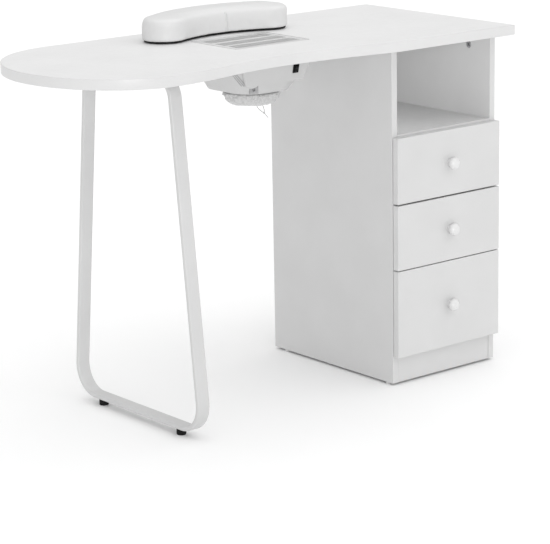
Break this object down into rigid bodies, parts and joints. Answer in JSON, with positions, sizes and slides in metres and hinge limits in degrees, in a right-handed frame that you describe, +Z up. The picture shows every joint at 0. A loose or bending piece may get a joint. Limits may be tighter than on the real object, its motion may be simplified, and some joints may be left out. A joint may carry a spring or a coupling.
{
  "type": "manicure table",
  "caption": "White manicure table with a kidney-shaped top, drawer cabinet, looped leg, cushioned hand rest and a dust collector let into the top.",
  "frame": {"origin": "on the floor, under the middle of the table's bounding box", "axes": "+Z up, +X along the length towards the drawer cabinet, -Y towards the person who sits at the drawers"},
  "size_m": [1.1, 0.486, 0.804],
  "materials": {
    "white_board": "white melamine-faced board",
    "edge_strip": "white edge band",
    "box_board": "white foil-faced board",
    "white_powder_coat": "white powder coat",
    "white_plastic": "moulded, satin",
    "grey_plastic": "moulded, matt",
    "black_plastic": "moulded, satin",
    "black_rubber": "matt",
    "zinc": "zinc plated",
    "brushed_metal": "brushed",
    "white_leatherette": "smooth artificial leather",
    "white_fabric": "thin non-woven",
    "white_thread": "braided cord"
  },
  "bodies": {
    "table": {"tabletop": "white_board", "tabletop_edge_band": "edge_strip", "cabinet_side_left": "white_board", "cabinet_side_right": "white_board", "cabinet_back": "white_board", "cabinet_shelf": "white_board", "cabinet_bottom": "white_board", "plinth_board": "white_board", "cam_lock_left_front": "zinc", "cam_lock_left_rear": "zinc", "cam_lock_right_front": "zinc", "cam_lock_right_rear": "zinc", "cabinet_glide_left_front": "white_plastic", "cabinet_glide_left_rear": "white_plastic", "cabinet_glide_right_front": "white_plastic", "cabinet_glide_right_rear": "white_plastic", "leg_frame": "white_powder_coat", "leg_screw_front": "zinc", "leg_screw_rear": "zinc", "drawer_top_runner_left": "white_plastic", "drawer_top_runner_right": "white_plastic", "drawer_middle_runner_left": "white_plastic", "drawer_middle_runner_right": "white_plastic", "drawer_bottom_runner_left": "white_plastic", "drawer_bottom_runner_right": "white_plastic", "collector_housing": "white_plastic", "fan_frame": "black_plastic", "fan_motor": "grey_plastic", "switch_body": "black_plastic", "dc_inlet": "grey_plastic", "inlet_lead": "black_rubber", "fan_lead": "black_rubber"},
    "drawer_top": {"drawer_top_front": "white_board", "drawer_top_knob": "white_plastic", "drawer_top_side_left": "box_board", "drawer_top_side_right": "box_board", "drawer_top_bottom": "box_board", "drawer_top_back": "box_board"},
    "drawer_middle": {"drawer_middle_front": "white_board", "drawer_middle_knob": "white_plastic", "drawer_middle_side_left": "box_board", "drawer_middle_side_right": "box_board", "drawer_middle_bottom": "box_board", "drawer_middle_back": "box_board"},
    "drawer_bottom": {"drawer_bottom_front": "white_board", "drawer_bottom_knob": "white_plastic", "drawer_bottom_side_left": "box_board", "drawer_bottom_side_right": "box_board", "drawer_bottom_bottom": "box_board", "drawer_bottom_back": "box_board"},
    "foot_front": {"leg_foot_front": "black_rubber"},
    "foot_rear": {"leg_foot_rear": "black_rubber"},
    "impeller": {"fan_impeller": "black_plastic"},
    "rocker": {"switch_rocker": "black_plastic"},
    "grille": {"grille": "brushed_metal"},
    "bag": {"dust_bag": "white_fabric", "bag_elastic": "white_thread", "bag_drawstring": "white_thread"},
    "hand_rest": {"hand_rest_pad": "white_leatherette", "hand_rest_base": "black_plastic"}
  },
  "joints": [
    {"name": "drawer_top_slide", "type": "slide", "parent": "table", "child": "drawer_top", "axis": [0, -1, 0], "range_m": [0, 0.25]},
    {"name": "drawer_middle_slide", "type": "slide", "parent": "table", "child": "drawer_middle", "axis": [0, -1, 0], "range_m": [0, 0.25]},
    {"name": "drawer_bottom_slide", "type": "slide", "parent": "table", "child": "drawer_bottom", "axis": [0, -1, 0], "range_m": [0, 0.25]},
    {"name": "foot_front_level", "type": "slide", "parent": "table", "child": "foot_front", "axis": [0, 0, -1], "range_m": [0, 0.005]},
    {"name": "foot_rear_level", "type": "slide", "parent": "table", "child": "foot_rear", "axis": [0, 0, -1], "range_m": [0, 0.005]},
    {"name": "fan_spin", "type": "hinge", "parent": "table", "child": "impeller", "pos_m": [0.0155, 0.0015, 0.6498], "axis": [0, 0, 1], "continuous": true},
    {"name": "switch_rock", "type": "hinge", "parent": "table", "child": "rocker", "pos_m": [0.067, -0.08245, 0.6952], "axis": [1, 0, 0], "range_deg": [-18, 0]},
    {"name": "grille_lift", "type": "slide", "parent": "table", "child": "grille", "axis": [0, 0, 1], "range_m": [0, 0.05]},
    {"name": "dust_bag_pull", "type": "slide", "parent": "table", "child": "bag", "axis": [0, 0, -1], "range_m": [0, 0.06]},
    {"name": "hand_rest_lift", "type": "slide", "parent": "table", "child": "hand_rest", "axis": [0, 0, 1], "range_m": [0, 0.1]}
  ]
}
